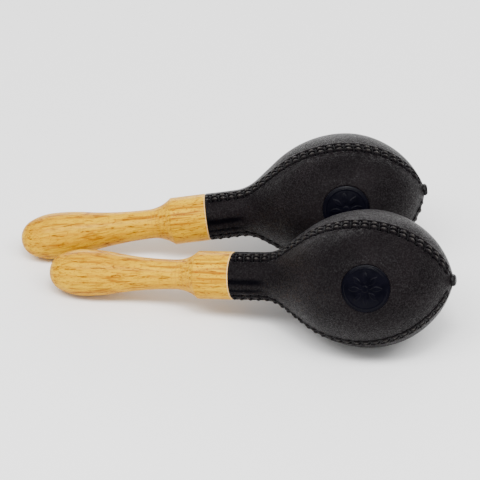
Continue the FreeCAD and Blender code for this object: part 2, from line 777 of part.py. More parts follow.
def main():
    bearing = math.radians(size("head_bearing"))
    spacing = size("head_spacing")
    rear_x = spacing * math.cos(bearing)
    rear_y = spacing * math.sin(bearing)
    maracas = {}
    for prefix, x, y in (("front", 0, 0), ("rear", rear_x, rear_y)):
        yaw = size(prefix + "_yaw")
        pieces, shot = build_maraca(prefix, yaw)
        maracas[prefix] = (pieces, shot, yaw, x, y)
    doc.recompute()
    check_features()

    # The row's origin is under the middle of the pair's box, on the table.
    shift = row_shift(maracas)
    placed = list(placements(maracas, shift))
    for name, piece, place in placed:
        piece.Placement = place
        piece.Label = name
    doc.recompute()
    check_features()
    os.makedirs("parts", exist_ok=True)
    for name, piece, _ in placed:
        export(name, piece)
    for prefix, (_, _, yaw, x, y) in maracas.items():
        check_cut(prefix)
        place = maraca_place(yaw, x, y)
        place.Base = place.Base + shift
        print(prefix, "maraca is at", place)


main()
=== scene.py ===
"""The looks of a pair of stitched leather maracas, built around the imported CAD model.

Lengths inside this script are in millimetres until a mesh is made, when they become metres.  Each
maraca is drawn in a frame of its own: +X runs from the butt of the handle to the tip of the head, and
+Z out through the badge.  A station is a distance along that axis and a radius a distance from it, as
in the CAD source.
"""

import json
import math

import bpy
import numpy as np
from mathutils import Matrix, Vector


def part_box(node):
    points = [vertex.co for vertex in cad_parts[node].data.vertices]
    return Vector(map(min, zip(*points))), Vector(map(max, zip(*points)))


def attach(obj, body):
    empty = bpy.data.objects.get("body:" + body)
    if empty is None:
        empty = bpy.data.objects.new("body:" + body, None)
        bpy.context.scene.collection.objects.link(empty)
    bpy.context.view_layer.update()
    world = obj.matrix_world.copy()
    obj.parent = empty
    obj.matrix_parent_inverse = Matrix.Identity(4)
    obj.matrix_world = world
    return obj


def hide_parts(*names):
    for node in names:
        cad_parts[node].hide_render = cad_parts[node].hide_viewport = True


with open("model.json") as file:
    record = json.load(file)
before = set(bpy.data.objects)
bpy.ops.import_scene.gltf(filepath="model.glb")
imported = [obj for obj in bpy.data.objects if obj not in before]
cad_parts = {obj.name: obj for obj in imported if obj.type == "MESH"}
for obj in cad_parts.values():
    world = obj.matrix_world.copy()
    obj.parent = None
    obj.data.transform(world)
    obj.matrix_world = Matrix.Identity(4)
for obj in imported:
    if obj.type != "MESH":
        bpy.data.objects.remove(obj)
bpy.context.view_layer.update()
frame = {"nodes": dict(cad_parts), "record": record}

MM = 0.001

# Handle
NOSE_ARC = 13.3
NOSE_SWEEP = math.radians(64)
BUTT_ARC = 37.0
CROWN_ARC = 130.0
WAIST_STATION = 89.6
WAIST_RADIUS = 10.0
SHOULDER_ARC = 24.2
SHOULDER_SLOPE = math.radians(40)
COLLAR_RADIUS = 16.0
CORNER_ARC = (COLLAR_RADIUS - WAIST_RADIUS) / (1 - math.cos(SHOULDER_SLOPE)) - SHOULDER_ARC
COLLAR_START = WAIST_STATION + (SHOULDER_ARC + CORNER_ARC) * math.sin(SHOULDER_SLOPE)
COLLAR_END = 129.8
COLLAR_BEVEL = 0.5
TENON_RADIUS = 13.7
TENON_LENGTH = 22.0
TENON_FLAT = 11.6
TENON_BEVEL = 1.0

# Head
NECK_RADIUS = 16.0
FLARE_ARC = 26.0
FLARE_SLOPE = math.radians(36)
BACK_ARC = 70.0
FRONT_ARC = 58.3
HEAD_RADIUS = 45.5
HEAD_STATION = 222.5
LEATHER = 2.2
HOLE_RADIUS = 2.6
PANEL_ANGLE = math.radians(120)
HALF_PANEL = math.radians(59.8)

# Stitches
STITCH_START = 4.0
STITCH_PITCH = 5.7
STITCH_GROWTH = 0.045
STITCH_REACH = 3.2
STITCH_SLANT = math.tan(math.radians(8))
TIP_CLEARANCE = 8.0
THREAD_RADIUS = 0.55

# Badge and plug
BADGE_STATIONS = {"front": 231.0, "rear": 226.5}
BADGE_RADIUS = 15.8
RECESS_RADIUS = 15.95
RECESS_DEPTH = 0.9
BADGE_SINK = 0.35
PLUG_RADIUS = 4.0
PLUG_END = 281.0

SEAMS = {"top": -60.0, "lower": 60.0, "far": 180.0}
PANELS = {"badge": 0.0, "back": -120.0, "belly": 120.0}
PANEL_SEAMS = {"badge": ("top", "lower"), "back": ("far", "top"), "belly": ("lower", "far")}


# --------------------------------------------------------------------------------------------------
# Outlines


class Outline:
    """A smooth outline as closely spaced points, read by the distance travelled along it."""

    def __init__(self, pieces):
        points = [np.array(pieces[0][0], float)[None, :]]
        for piece in pieces:
            points.append(self._sample(*piece))
        points = np.concatenate(points)
        steps = np.hypot(*np.diff(points, axis=0).T)
        keep = np.concatenate([[True], steps > 1e-9])
        self.points = points[keep]
        self.travel = np.concatenate([[0], np.cumsum(steps[steps > 1e-9])])
        self.length = self.travel[-1]

    @staticmethod
    def _sample(start, end, centre=None):
        start, end = np.array(start, float), np.array(end, float)
        if centre is None:
            count = max(2, int(np.hypot(*(end - start)) / 0.1))
            share = np.linspace(0, 1, count + 1)[1:, None]
            return start + (end - start) * share
        centre = np.array(centre, float)
        first = math.atan2(*(start - centre)[::-1])
        last = math.atan2(*(end - centre)[::-1])
        sweep = (last - first + math.pi) % (2 * math.pi) - math.pi
        radius = np.hypot(*(start - centre))
        count = max(2, int(abs(sweep) * radius / 0.1))
        angles = first + sweep * np.linspace(0, 1, count + 1)[1:]
        return centre + radius * np.stack([np.cos(angles), np.sin(angles)], axis=1)

    def at(self, travel):
        """Station and radius at a distance along the outline."""
        return (
            np.interp(travel, self.travel, self.points[:, 0]),
            np.interp(travel, self.travel, self.points[:, 1]),
        )

    def normal(self, travel):
        """The outward normal, as its parts along the station and the radius."""
        x0, y0 = self.at(np.asarray(travel) - 0.15)
        x1, y1 = self.at(np.asarray(travel) + 0.15)
        size = np.maximum(np.hypot(x1 - x0, y1 - y0), 1e-9)
        return -(y1 - y0) / size, (x1 - x0) / size

    def travel_at(self, station):
        """The distance along the outline at a station."""
        return np.interp(station, self.points[:, 0], self.travel)


def polar(centre, radius, angle):
    return centre[0] + radius * math.cos(angle), centre[1] + radius * math.sin(angle)


def handle_outline():
    """The handle from its nose to the leather."""
    nose = (NOSE_ARC, 0)
    nose_end = polar(nose, NOSE_ARC, math.pi - NOSE_SWEEP)
    butt = polar(nose, NOSE_ARC - BUTT_ARC, math.pi - NOSE_SWEEP)
    crest = (butt[0], butt[1] + BUTT_ARC)
    run = WAIST_STATION - crest[0]
    fall = 2 * math.atan2(crest[1] - WAIST_RADIUS, run)
    waist_arc = run / math.sin(fall) - CROWN_ARC
    crown = (crest[0], crest[1] - CROWN_ARC)
    crown_end = polar(crown, CROWN_ARC, math.pi / 2 - fall)
    waist = (WAIST_STATION, WAIST_RADIUS)
    shoulder = (WAIST_STATION, WAIST_RADIUS + SHOULDER_ARC)
    shoulder_end = polar(shoulder, SHOULDER_ARC, -math.pi / 2 + SHOULDER_SLOPE)
    corner = polar(shoulder_end, CORNER_ARC, -math.pi / 2 + SHOULDER_SLOPE)
    collar_start = (COLLAR_START, COLLAR_RADIUS)
    bevel_start = (COLLAR_END - COLLAR_BEVEL, COLLAR_RADIUS)
    bevel_end = (COLLAR_END, COLLAR_RADIUS - COLLAR_BEVEL)
    return Outline([
        ((0, 0), nose_end, nose),
        (nose_end, crest, butt),
        (crest, crown_end, crown),
        (crown_end, waist, (WAIST_STATION, WAIST_RADIUS + waist_arc)),
        (waist, shoulder_end, shoulder),
        (shoulder_end, collar_start, corner),
        (collar_start, bevel_start),
        (bevel_start, bevel_end),
    ])


FRONT_CENTRE = (HEAD_STATION, HEAD_RADIUS - FRONT_ARC)


def front_station(radius):
    """The station of the head's front arc where it is a radius from the axis."""
    return HEAD_STATION + math.sqrt(FRONT_ARC**2 - (radius - FRONT_CENTRE[1]) ** 2)


def head_outline():
    """The leather from its edge at the collar to the filling hole."""
    crest = (HEAD_STATION, HEAD_RADIUS)
    back = (HEAD_STATION, HEAD_RADIUS - BACK_ARC)
    back_start = polar(back, BACK_ARC, math.pi / 2 + FLARE_SLOPE)
    flare_height = NECK_RADIUS + FLARE_ARC * (1 - math.cos(FLARE_SLOPE))
    flare_station = back_start[0] - (back_start[1] - flare_height) / math.tan(FLARE_SLOPE)
    neck_end = (flare_station - FLARE_ARC * math.sin(FLARE_SLOPE), NECK_RADIUS)
    flare_end = (flare_station, flare_height)
    return Outline([
        ((COLLAR_END, NECK_RADIUS), neck_end),
        (neck_end, flare_end, (neck_end[0], NECK_RADIUS + FLARE_ARC)),
        (flare_end, back_start),
        (back_start, crest, back),
        (crest, (front_station(HOLE_RADIUS), HOLE_RADIUS), FRONT_CENTRE),
    ])


HANDLE = handle_outline()
HEAD = head_outline()


def stitch_travels():
    """How far along the head's outline each stitch of a seam is."""
    last = HEAD.travel_at(front_station(TIP_CLEARANCE))
    travels = []
    travel, step = STITCH_START, STITCH_PITCH
    while travel < last:
        travels.append(travel)
        travel += step
        step += STITCH_GROWTH
    return np.array(travels)


STITCHES = stitch_travels()


# --------------------------------------------------------------------------------------------------
# Meshes


def smooth_step(low, high, value):
    share = np.clip((value - low) / (high - low), 0, 1)
    return share * share * (3 - 2 * share)


def ring_point(station, radius, angle):
    """Points on rings about the axis, with the angle from +Z towards -Y."""
    return np.stack([station, -radius * np.sin(angle), radius * np.cos(angle)], axis=-1)


def turned(verts, degrees):
    """Points turned about the axis, from +Z towards -Y."""
    turn = math.radians(degrees)
    y, z = verts[:, 1], verts[:, 2]
    turned_y = y * math.cos(turn) - z * math.sin(turn)
    turned_z = y * math.sin(turn) + z * math.cos(turn)
    return np.stack([verts[:, 0], turned_y, turned_z], axis=1)


class Maraca:
    """The frame of one maraca and its name."""

    def __init__(self, name):
        self.name = name
        self.badge_station = BADGE_STATIONS[name]
        mounts = frame["record"]["mounts"]
        mount = next(m for m in mounts if m["name"] == name + "_collar")
        along = -Vector(mount["axis"]).normalized()
        middle = (COLLAR_START + COLLAR_END - COLLAR_BEVEL) / 2
        origin = Vector(mount["pos_m"]) - along * middle * MM
        low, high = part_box(name + "_badge")
        out = (low + high) / 2 - origin
        out = (out - along * out.dot(along)).normalized()
        side = out.cross(along)
        self.matrix = Matrix((along, side, out)).transposed().to_4x4()
        self.matrix.translation = origin

    def piece(self, name, verts, faces, material, slot, node):
        """A mesh of this maraca, from points in its own frame in millimetres, in place of a CAD node."""
        placed = np.array(self.matrix.to_3x3())
        verts = np.asarray(verts) * MM @ placed.T + np.array(self.matrix.translation)
        mesh = bpy.data.meshes.new(self.name + "_" + name)
        mesh.from_pydata(verts.tolist(), [], faces)
        mesh.validate()
        mesh.polygons.foreach_set("use_smooth", [True] * len(mesh.polygons))
        piece = bpy.data.objects.new(self.name + "_" + name, mesh)
        bpy.context.scene.collection.objects.link(piece)
        mesh.materials.append(material)
        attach(piece, self.name + "_maraca")
        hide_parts(self.name + "_" + node)
        return piece


def grid_faces(rows, columns):
    """Faces of a grid of points, whose last column joins its first."""
    faces = []
    for i in range(rows - 1):
        for j in range(columns):
            a, b = i * columns + j, i * columns + (j + 1) % columns
            faces.append((a, b, b + columns, a + columns))
    return faces


def lathe(stations, radii, segments, reshape):
    """A closed solid of revolution about the axis, whose first and last radii are zero.

    reshape gives the radii in place of the round ones, from the stations, radii and angles.
    """
    angles = np.linspace(0, 2 * math.pi, segments, endpoint=False)
    inner = slice(1, -1)
    ring_radii = np.repeat(radii[inner, None], segments, axis=1)
    ring_stations = np.repeat(stations[inner, None], segments, axis=1)
    ring_radii = reshape(ring_stations, ring_radii, angles[None, :])
    verts = ring_point(ring_stations, ring_radii, angles[None, :]).reshape(-1, 3)
    rows = len(stations) - 2
    faces = grid_faces(rows, segments)
    first, last = len(verts), len(verts) + 1
    verts = np.concatenate([verts, [[stations[0], 0, 0], [stations[-1], 0, 0]]])
    end = (rows - 1) * segments
    for j in range(segments):
        k = (j + 1) % segments
        faces.append((first, k, j))
        faces.append((last, end + j, end + k))
    return verts, faces


def crease(piece, angle):
    """Keeps edges sharper than an angle crisp under smooth shading."""
    mesh = piece.data
    mesh.update()
    normals = np.array([p.normal for p in mesh.polygons])
    edge_faces = {}
    for number, polygon in enumerate(mesh.polygons):
        for key in polygon.edge_keys:
            edge_faces.setdefault(key, []).append(number)
    limit = math.cos(math.radians(angle))
    for edge in mesh.edges:
        near = edge_faces.get(tuple(sorted(edge.vertices)), [])
        if len(near) == 2 and normals[near[0]] @ normals[near[1]] < limit:
            edge.use_edge_sharp = True


# --------------------------------------------------------------------------------------------------
# Handle


NOSE_TRAVEL = 6.0
HANDLE_SEGMENTS = 160


def build_handle(maraca, material):
    travels = np.concatenate([
        np.linspace(0, NOSE_TRAVEL, 16)[:-1],
        np.linspace(NOSE_TRAVEL, HANDLE.travel_at(COLLAR_END - COLLAR_BEVEL), 260),
        [HANDLE.length],
    ])
    stations, radii = HANDLE.at(travels)
    tenon_end = COLLAR_END + TENON_LENGTH
    stations = np.concatenate([stations, [COLLAR_END, tenon_end - TENON_BEVEL, tenon_end, tenon_end]])
    radii = np.concatenate([radii, [TENON_RADIUS, TENON_RADIUS, TENON_RADIUS - TENON_BEVEL, 0]])
    radii[0] = 0

    def flats(station, radius, angle):
        """The tenon's three flats, which clear the stitches of the three seams."""
        seam = (angle - math.radians(SEAMS["lower"])) % PANEL_ANGLE
        seam = np.minimum(seam, PANEL_ANGLE - seam)
        flat = np.minimum(radius, TENON_FLAT / np.cos(seam))
        on_tenon = (station >= COLLAR_END) & (radius <= TENON_RADIUS + 1e-6)
        return np.where(on_tenon, flat, radius)

    verts, faces = lathe(stations, radii, HANDLE_SEGMENTS, flats)
    crease(maraca.piece("turned_handle", verts, faces, material, "wood", "handle"), 30)


# --------------------------------------------------------------------------------------------------
# Leather

# The lip puffs up between stitches, rolls in at the seam and is pulled down under each stitch.
LIP_HEIGHT = 1.25
LIP_PLACE = 1.6
LIP_WIDTH = 1.2
PUFF_FULLNESS = 0.8
PUFF_SPREAD = (0.85, 1.12)
ROLL = 0.75
ROLL_DEPTH = 1.05
PULL = 0.8
PULL_WIDTH = 3.3

# A crease and then a low shoulder follow the row of stitch holes.
ROW_SWING = 0.25
CREASE_DEPTH = 0.34
CREASE_WIDTH = 0.75
SHOULDER_BUMP = 0.24
SHOULDER_PLACE = 1.3
SHOULDER_WIDTH = 0.95
PIT_DEPTH = 1.3
PIT_RADIUS = 1.15
TENSION = 0.25
TENSION_WIDTH = 7.0
SEAM_FADE = (1.0, 4.5)
DEEPEST = -2.0

# The panel's edges at the collar and round the filling hole.
BRIM_ROLL = 0.7
BRIM_DEPTH = 0.5
MOUTH_ROLL = 1.5
MOUTH_DEPTH = 0.4

# Waves over a whole panel, and folds in the neck: each fold's angle from the panel's middle, its depth
# and its width, the angles in degrees.
WAVES = 9
WAVE_HEIGHT = 0.03
NECK_FOLD_END = (16.0, 34.0)
NECK_FOLDS = ((7.0, 0.25, 8.0), (31.0, 0.22, 6.0))
# How strongly the neck folds' colour is darkened and their shine lowered, as painted shade.
FOLD_SHADE = 4.0


def stitch_phase(travel):
    """How far a place is along the run of stitches, in stitches."""
    count = np.arange(len(STITCHES))
    inside = np.interp(travel, STITCHES, count)
    before = np.minimum(travel - STITCHES[0], 0) / STITCH_PITCH
    after = np.maximum(travel - STITCHES[-1], 0) / (STITCHES[-1] - STITCHES[-2])
    return inside + before + after


def seam_height(travel, away, slant, puff):
    """How far the leather stands above the plain outline near a seam, and how much painted highlight and
    painted shade its colour takes there.
    """
    shifted = travel - slant * away
    phase = stitch_phase(shifted)
    nearest = np.clip(np.round(phase), 0, len(STITCHES) - 1).astype(int)
    along = shifted - STITCHES[nearest]
    between = 0.5 - 0.5 * np.cos(2 * math.pi * phase)
    between = between**PUFF_FULLNESS * puff[nearest]
    past_ends = np.maximum(STITCHES[0] - shifted, shifted - STITCHES[-1])
    fade = 1 - smooth_step(*SEAM_FADE, past_ends)

    crest = between * np.exp(-(np.abs((away - LIP_PLACE) / LIP_WIDTH) ** 3))
    lip = LIP_HEIGHT * crest
    roll = np.clip(1 - away / ROLL, 0, 1)
    edge = -ROLL_DEPTH * (1 - np.sqrt(np.clip(1 - roll**2, 0, 1)))
    pull = -PULL * (1 - between) ** 2 * np.exp(-((away / PULL_WIDTH) ** 4))
    row = STITCH_REACH + ROW_SWING * between
    dip = -CREASE_DEPTH * np.exp(-(((away - row) / CREASE_WIDTH) ** 2))
    from_shoulder = (away - row - SHOULDER_PLACE) / SHOULDER_WIDTH
    bump = SHOULDER_BUMP * (0.3 + 0.7 * between) * np.exp(-(from_shoulder**2))
    reach = np.hypot(along, away - STITCH_REACH)
    pit = -PIT_DEPTH * np.exp(-((reach / PIT_RADIUS) ** 4))
    tension = -TENSION * np.exp(-((away / TENSION_WIDTH) ** 2))
    # The second value paints light into the colour: lighter on the lips' crests, a painted highlight that
    # also stands for rubbed wear, and on the shoulder bumps, a painted glint; darker in the crease, at the
    # rolled seam edge and in the stitch pits, painted shade.
    wear_and_painted_light = smooth_step(0.55, 1.0, crest) + 0.12 * bump / SHOULDER_BUMP * between
    painted_shade = 0.45 * smooth_step(0.15, 0.8, -dip / CREASE_DEPTH) + smooth_step(0.0, 0.6, roll) - pit
    wear_and_painted_light = fade * (wear_and_painted_light - painted_shade)
    return edge + fade * (lip + pull + dip + bump + pit + tension), wear_and_painted_light


def panel_waves(travel, angle, seed):
    """Slow unevenness of hand-blocked leather."""
    generator = np.random.default_rng(seed)
    height = np.zeros(np.broadcast(travel, angle).shape)
    for _ in range(WAVES):
        lengthwise = generator.uniform(0.06, 0.24)
        round_way = generator.uniform(2.0, 8.0)
        turn, push = generator.uniform(0, 2 * math.pi, 2)
        height += np.sin(lengthwise * travel + turn) * np.sin(round_way * angle + push)
    return WAVE_HEIGHT * height


# Distances from a seam of a panel's columns of points, closest where the surface bends most.
EDGE_STEPS = np.array([
    0, 0.1, 0.22, 0.38, 0.56, 0.76, 1.0, 1.25, 1.5, 1.75, 2.0, 2.22, 2.42, 2.6, 2.77, 2.93, 3.08,
    3.23, 3.4, 3.58, 3.78, 4.0, 4.3, 4.65, 5.05, 5.5, 6.1, 6.9, 7.9, 9.0,
])
EDGE_ROOM = 14.0
MIDDLE_COLUMNS = 25
ROW_STEP = 0.42
INNER_COLUMNS = 25


def column_angles(travel):
    """The angles of a row's columns, close together near both seams."""
    _, radius = HEAD.at(travel)
    half = radius * HALF_PANEL
    scale = np.minimum(1, half / EDGE_ROOM)
    side = EDGE_STEPS[None, :] * scale[:, None]
    start = side[:, -1:]
    share = np.linspace(0, 1, MIDDLE_COLUMNS + 2)[None, 1:-1]
    middle = start + (2 * half[:, None] - 2 * start) * share
    away = np.concatenate([side, middle, 2 * half[:, None] - side[:, ::-1]], axis=1)
    return (away - half[:, None]) / radius[:, None]


def neck_folds(travel, angle):
    """Shallow folds that run along the neck, where the leather was drawn in round the tenon."""
    fade = 1 - smooth_step(*NECK_FOLD_END, travel)
    depths = [
        depth * np.exp(-(((np.degrees(angle) - place) / width) ** 2))
        for place, depth, width in NECK_FOLDS
    ]
    return fade * sum(depths)


def leather_height(travel, angle, seed, puffs):
    """The whole height of a panel's outer surface over the plain outline, and the painted highlight and
    painted shade of its colour.
    """
    _, radius = HEAD.at(travel)
    left = radius * (HALF_PANEL + angle)
    right = radius * (HALF_PANEL - angle)
    height, wear_and_painted_light = seam_height(travel, left, STITCH_SLANT, puffs[0])
    other_height, other_wear_and_painted_light = seam_height(travel, right, -STITCH_SLANT, puffs[1])
    folds = neck_folds(travel, angle)
    height += other_height - folds
    # The neck folds are painted darker and less shiny: painted shade.
    wear_and_painted_light += other_wear_and_painted_light - FOLD_SHADE * folds
    height += panel_waves(travel, angle, seed) * smooth_step(0, 8, np.minimum(left, right))
    brim = np.clip(1 - travel / BRIM_ROLL, 0, 1)
    height -= BRIM_DEPTH * (1 - np.sqrt(1 - brim**2))
    mouth = np.clip(1 - (HEAD.length - travel) / MOUTH_ROLL, 0, 1)
    return np.maximum(height - MOUTH_DEPTH * mouth**2, DEEPEST), np.clip(wear_and_painted_light, -1, 1)


def raised(travel, angle, height):
    """Points of the head's surface lifted along its normal."""
    station, radius = HEAD.at(travel)
    along, out = HEAD.normal(travel)
    return ring_point(station + along * height, radius + out * height, angle)


RECESS_MARGIN = 3.2
RECESS_ROLL = 0.9
RECESS_ROLL_DEPTH = 0.45
DISH_DEPTH = 0.12
DISH_WIDTH = 2.2
RECESS_RINGS = np.array([0.14, 0.28, 0.42, 0.55, 0.67, 0.77, 0.85, 0.91, 0.95, 0.98, 1.0])
FLOOR_RINGS = np.array([1.0, 0.97, 0.8, 0.6, 0.4, 0.2])


def recess_patch(badge_station, inside, verts, faces, grid, index, heights):
    """Fills the gap left in the badge panel's grid with rings that close in on the badge's round recess."""
    (top, bottom), (left, right) = inside
    loop = [(top, j) for j in range(left, right)]
    loop += [(i, right) for i in range(top, bottom)]
    loop += [(bottom, j) for j in range(right, left, -1)]
    loop += [(i, left) for i in range(bottom, top, -1)]
    plan = np.array([grid[i, j, :2] for i, j in loop])
    base = np.array([heights[i, j] for i, j in loop])
    centre = np.array([badge_station, 0.0])
    spoke = plan - centre
    reach = np.hypot(*spoke.T)
    rim = centre + spoke / reach[:, None] * RECESS_RADIUS
    rings = [np.array([index[i, j] for i, j in loop])]
    extra = []

    def add_ring(flat, height):
        travel = HEAD.travel_at(flat[:, 0])
        _, radius = HEAD.at(travel)
        angle = -np.arcsin(np.clip(flat[:, 1] / radius, -1, 1))
        start = len(verts) + sum(len(part) for part in extra)
        extra.append(raised(travel, angle, height))
        rings.append(np.arange(start, start + len(flat)))

    for share in RECESS_RINGS:
        flat = plan + (rim - plan) * share
        from_rim = np.hypot(*(flat - centre).T) - RECESS_RADIUS
        roll = np.clip(1 - from_rim / RECESS_ROLL, 0, 1)
        dish = -DISH_DEPTH * np.exp(-((from_rim / DISH_WIDTH) ** 2))
        edge = -RECESS_ROLL_DEPTH * (1 - np.sqrt(np.clip(1 - roll**2, 0, 1)))
        add_ring(flat, base * (1 - share) + dish * smooth_step(0, 0.4, share) + edge)
    for share in FLOOR_RINGS:
        flat = centre + (rim - centre) * share
        add_ring(flat, np.full(len(loop), -RECESS_DEPTH))
    middle = len(verts) + sum(len(part) for part in extra)
    travel = HEAD.travel_at(np.array([badge_station]))
    extra.append(raised(travel, np.array([0.0]), np.array([-RECESS_DEPTH])))
    count = len(loop)
    for outer, inner in zip(rings, rings[1:]):
        for j in range(count):
            k = (j + 1) % count
            faces.append((outer[j], outer[k], inner[k], inner[j]))
    for j in range(count):
        faces.append((rings[-1][j], rings[-1][(j + 1) % count], middle))
    return np.concatenate([verts] + extra)


def build_panel(maraca, name, seed, puffs, material):
    """One leather panel, outer and inner faces and all its edges, as one closed mesh."""
    rows = int(HEAD.length / ROW_STEP)
    travels = np.linspace(0, HEAD.length, rows)
    angles = column_angles(travels)
    travel_grid = np.repeat(travels[:, None], angles.shape[1], axis=1)
    heights, wear_and_painted_light = leather_height(travel_grid, angles, seed, puffs)
    outer = raised(travel_grid, angles, heights)
    inner_angles = np.linspace(HALF_PANEL, -HALF_PANEL, INNER_COLUMNS)[None, :]
    inner_angles = np.repeat(inner_angles, rows, axis=0)
    inner_travels = np.repeat(travels[:, None], INNER_COLUMNS, axis=1)
    inner = raised(inner_travels, inner_angles, np.full(inner_travels.shape, -LEATHER))
    ring = np.concatenate([outer, inner], axis=1)
    columns = ring.shape[1]
    verts = ring.reshape(-1, 3)
    index = np.arange(rows * columns).reshape(rows, columns)

    inside = None
    if name == "badge":
        reach = np.hypot(outer[..., 0] - maraca.badge_station, outer[..., 1])
        near = reach < RECESS_RADIUS + RECESS_MARGIN
        hit_rows = np.where(near.any(axis=1))[0]
        hit_columns = np.where(near.any(axis=0))[0]
        inside = (hit_rows[0], hit_rows[-1]), (hit_columns[0], hit_columns[-1])
    faces = []
    for i in range(rows - 1):
        for j in range(columns):
            if inside and inside[0][0] <= i < inside[0][1] and inside[1][0] <= j < inside[1][1]:
                continue
            k = (j + 1) % columns
            faces.append((index[i, j], index[i, k], index[i + 1, k], index[i + 1, j]))
    faces.append(tuple(index[0, ::-1]))
    faces.append(tuple(index[-1]))
    if inside:
        verts = recess_patch(maraca.badge_station, inside, verts, faces, outer, index, heights)

    verts = turned(verts, PANELS[name])
    faces = [tuple(int(v) for v in face) for face in faces]
    piece = maraca.piece(name + "_leather", verts, faces, material, "leather", name + "_panel")
    point_wear_and_painted_light = np.zeros(len(verts))
    point_wear_and_painted_light[: rows * columns] = np.concatenate([wear_and_painted_light, np.zeros(inner.shape[:2])], axis=1).ravel()
    piece.data.attributes.new("wear_and_painted_light", "FLOAT", "POINT").data.foreach_set("value", point_wear_and_painted_light)
    crease(piece, 55)


# --------------------------------------------------------------------------------------------------
# Thread

THREAD_SIDES = 9
THREAD_STEP = 0.45
THREAD_LAY = 5.5
THREAD_LOBES = 3
THREAD_LOBE_DEPTH = 0.1

# A stitch from one hole to the other, as distances across the seam and heights over the outline.
BEHIND = -LEATHER - 1.05
CORD_HEIGHT = -0.6
HALF_STITCH = [
    (0.0, CORD_HEIGHT - 0.05),
    (1.2, CORD_HEIGHT),
    (STITCH_REACH - 0.75, CORD_HEIGHT - 0.08),
    (STITCH_REACH - 0.12, -1.1),
    (STITCH_REACH + 0.02, -1.9),
    (STITCH_REACH, BEHIND + 0.6),
]
STITCH = [(-x, height) for x, height in HALF_STITCH[:0:-1]] + HALF_STITCH


def smooth_path(points, step):
    """A Catmull-Rom curve through points, as closely spaced points."""
    points = np.array(points, float)
    padded = np.concatenate([[2 * points[0] - points[1]], points, [2 * points[-1] - points[-2]]])
    made = []
    for i in range(1, len(padded) - 2):
        p0, p1, p2, p3 = padded[i - 1 : i + 3]
        count = max(2, int(np.linalg.norm(p2 - p1) / step))
        for share in np.linspace(0, 1, count, endpoint=False):
            a = 2 * p1 + (p2 - p0) * share
            b = (2 * p0 - 5 * p1 + 4 * p2 - p3) * share**2
            c = (3 * p1 - p0 - 3 * p2 + p3) * share**3
            made.append((a + b + c) / 2)
    made.append(points[-1])
    return np.array(made)


def rope(path, radius):
    """A tube along a path with a twisted, lobed section and closed ends."""
    tangents = np.gradient(path, axis=0)
    tangents /= np.linalg.norm(tangents, axis=1)[:, None]
    normal = np.cross(tangents[0], [0, 0, 1.0])
    if np.linalg.norm(normal) < 0.1:
        normal = np.cross(tangents[0], [0, 1.0, 0])
    normal /= np.linalg.norm(normal)
    travel = 0.0
    rings = []
    for i, (point, tangent) in enumerate(zip(path, tangents)):
        normal = normal - tangent * (normal @ tangent)
        normal /= np.linalg.norm(normal)
        other = np.cross(tangent, normal)
        if i:
            travel += np.linalg.norm(point - path[i - 1])
        angle = np.linspace(0, 2 * math.pi, THREAD_SIDES, endpoint=False)
        lobe = 1 + THREAD_LOBE_DEPTH * np.cos(THREAD_LOBES * (angle - 2 * math.pi * travel / THREAD_LAY))
        reach = radius * lobe
        spokes = np.outer(np.cos(angle) * reach, normal), np.outer(np.sin(angle) * reach, other)
        rings.append(point + spokes[0] + spokes[1])
    verts = np.concatenate(rings)
    faces = grid_faces(len(path), THREAD_SIDES)
    faces.append(tuple(range(THREAD_SIDES - 1, -1, -1)))
    faces.append(tuple(range(len(verts) - THREAD_SIDES, len(verts))))
    return verts, faces


def build_thread(maraca, name, material):
    """The whip stitching of one seam as one thread, over the seam and back behind it to the next stitch."""
    points = []
    for number, travel in enumerate(STITCHES):
        station, radius = (float(v) for v in HEAD.at(travel))
        along, out = (float(v) for v in HEAD.normal(travel))
        outward = np.array([along, 0, out])
        forward = np.array([out, 0, -along])
        across = np.array([0, -1.0, 0])
        origin = np.array([station, 0, radius])
        for x, height in STITCH:
            sag = radius - math.sqrt(radius**2 - x**2) if abs(x) < radius else 0
            lift = height - sag * out
            points.append(origin + across * x + forward * STITCH_SLANT * x + outward * lift)
        if number + 1 < len(STITCHES):
            station, radius = (float(v) for v in HEAD.at((travel + STITCHES[number + 1]) / 2))
            points.append(np.array([station, 0, radius]) + outward * (BEHIND - 0.1))
    path = smooth_path(points, THREAD_STEP)
    verts, faces = rope(path, THREAD_RADIUS)
    verts = turned(verts, SEAMS[name])
    maraca.piece(name + "_seam_lace", verts, faces, material, "thread", name + "_seam_thread")


# --------------------------------------------------------------------------------------------------
# Badge and plug

RING_INNER = 13.0
RING_OUTER = 14.0
PETALS = 8
PETAL_START = 3.4
PETAL_END = 11.0
PETAL_WIDTH = 3.2
BOSS_RADIUS = 2.0
MOTIF_HEIGHT = 0.3
MOTIF_SOFTNESS = 0.28
VEIN_DEPTH = 0.25
VEIN_WIDTH = 0.22
FACE_CROWN = 0.08
RIM_ROUND = 0.45
RIM_DROP = 0.3
BADGE_SEGMENTS = 288
RING_STEP = 0.16
RIM_STEPS = np.array([0.6, 0.45, 0.3, 0.17, 0.07, 0.0])


